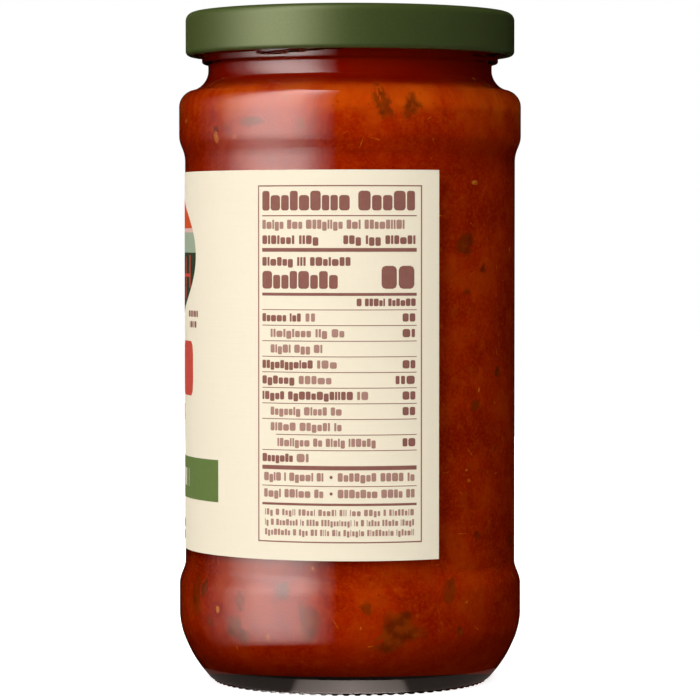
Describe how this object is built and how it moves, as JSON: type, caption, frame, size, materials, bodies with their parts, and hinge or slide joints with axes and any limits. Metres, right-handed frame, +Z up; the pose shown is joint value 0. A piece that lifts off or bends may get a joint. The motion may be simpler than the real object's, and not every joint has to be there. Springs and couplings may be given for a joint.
{
  "type": "jar of tomato sauce",
  "caption": "Tall round glass jar filled with chunky tomato sauce, closed by a dark green twist-off metal lid, with a cream paper label wrapped round its straight middle.",
  "frame": {"origin": "centre of the ring that the jar stands on", "axes": "+Z up along the jar's axis, -Y towards the small printed table on the label, -X towards the label's front, +X towards the bare glass between the label's ends"},
  "size_m": [0.0754, 0.0754, 0.1474],
  "materials": {
    "clear_glass": "clear flint glass, polished",
    "tomato_sauce": "thick cooked tomato sauce with herbs and seeds, wet",
    "lacquered_lid": "dark olive green lacquer on tinplate, semi-matt with a fine grain",
    "label_paper": "uncoated cream paper with fine laid lines and brown, red and green print"
  },
  "bodies": {
    "root": {"jar": "clear_glass", "sauce": "tomato_sauce", "lid": "lacquered_lid", "label": "label_paper"}
  },
  "joints": []
}
